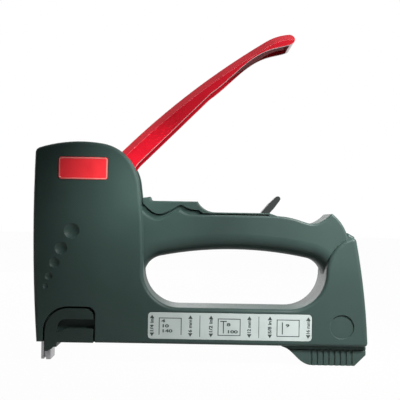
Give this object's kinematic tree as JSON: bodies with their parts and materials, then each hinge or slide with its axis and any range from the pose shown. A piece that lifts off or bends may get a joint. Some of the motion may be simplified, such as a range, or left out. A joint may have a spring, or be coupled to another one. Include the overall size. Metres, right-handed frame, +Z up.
{
  "type": "staple gun",
  "caption": "Hand staple gun with a dark green two-shell body, a raised red squeeze lever, a finger opening, a steel nose and a slide-out magazine.",
  "frame": {"origin": "on the bench, under the middle of the tool standing on its nose and magazine foot", "axes": "+X from the nose to the tail, +Y across the tool towards its right side, +Z up"},
  "size_m": [0.181, 0.0304, 0.1791],
  "materials": {
    "shell_plastic": "fine spark-eroded grain, dark green",
    "lever_paint": "glossy red enamel",
    "badge_red": "glossy red",
    "label_film": "satin printed film",
    "black_plastic": "satin black",
    "nose_steel": "hardened and ground",
    "plain_steel": "turned",
    "zinc_steel": "zinc plated",
    "spring_steel": "oiled spring wire",
    "bumper_rubber": "black moulded"
  },
  "bodies": {
    "body": {"left_housing": "shell_plastic", "right_housing": "shell_plastic", "housing_screws": "zinc_steel", "lever_pivot_pin": "plain_steel", "spring_cap": "black_plastic", "bumper": "bumper_rubber", "nose_front_plate": "nose_steel", "nose_rear_guide": "nose_steel", "staple_channel": "zinc_steel", "nose_latch_pins": "plain_steel", "lock_pin": "plain_steel", "badge": "badge_red", "size_label": "label_film", "drive_spring": "spring_steel", "lever_return_spring": "spring_steel"},
    "lever": {"lever": "lever_paint", "spacer_bush": "plain_steel"},
    "hammer": {"hammer": "plain_steel", "driver_blade": "nose_steel", "driver_rivets": "plain_steel", "lift_pins": "plain_steel"},
    "magazine": {"magazine_rail": "zinc_steel", "magazine_foot": "shell_plastic", "magazine_rivet": "plain_steel", "pusher_rod": "plain_steel", "pusher_spring": "spring_steel"},
    "pusher": {"pusher": "zinc_steel"},
    "nose_latch": {"nose_latch": "shell_plastic"},
    "lever_lock": {"lever_lock": "black_plastic"}
  },
  "joints": [
    {"name": "lever_pivot", "type": "hinge", "parent": "body", "child": "lever", "pos_m": [-0.057, 0, 0.091], "axis": [0, 1, 0], "range_deg": [0, 42.5], "stiffness_Nm_per_rad": 3, "springref_deg": -28.65, "deforming": ["lever_return_spring"]},
    {"name": "hammer_slide", "type": "slide", "parent": "body", "child": "hammer", "axis": [0, 0, 1], "range_m": [0, 0.01496], "deforming": ["drive_spring"]},
    {"name": "magazine_slide", "type": "slide", "parent": "body", "child": "magazine", "axis": [1, 0, 0], "range_m": [0, 0.085]},
    {"name": "pusher_slide", "type": "slide", "parent": "magazine", "child": "pusher", "axis": [1, 0, 0], "range_m": [0, 0.08], "stiffness_N_per_m": 30, "springref_m": -0.1, "deforming": ["pusher_spring"]},
    {"name": "nose_latch_hinge", "type": "hinge", "parent": "body", "child": "nose_latch", "pos_m": [-0.0796, 0, 0.0142], "axis": [0, 1, 0], "range_deg": [0, 6]},
    {"name": "lever_lock_hinge", "type": "hinge", "parent": "body", "child": "lever_lock", "pos_m": [0.0328, 0, 0.0793], "axis": [0, 1, 0], "range_deg": [-55, 0]}
  ],
  "couplings": [
    {"joint": "hammer_slide", "follows": "lever_pivot", "m_per_rad": 0.020033}
  ]
}
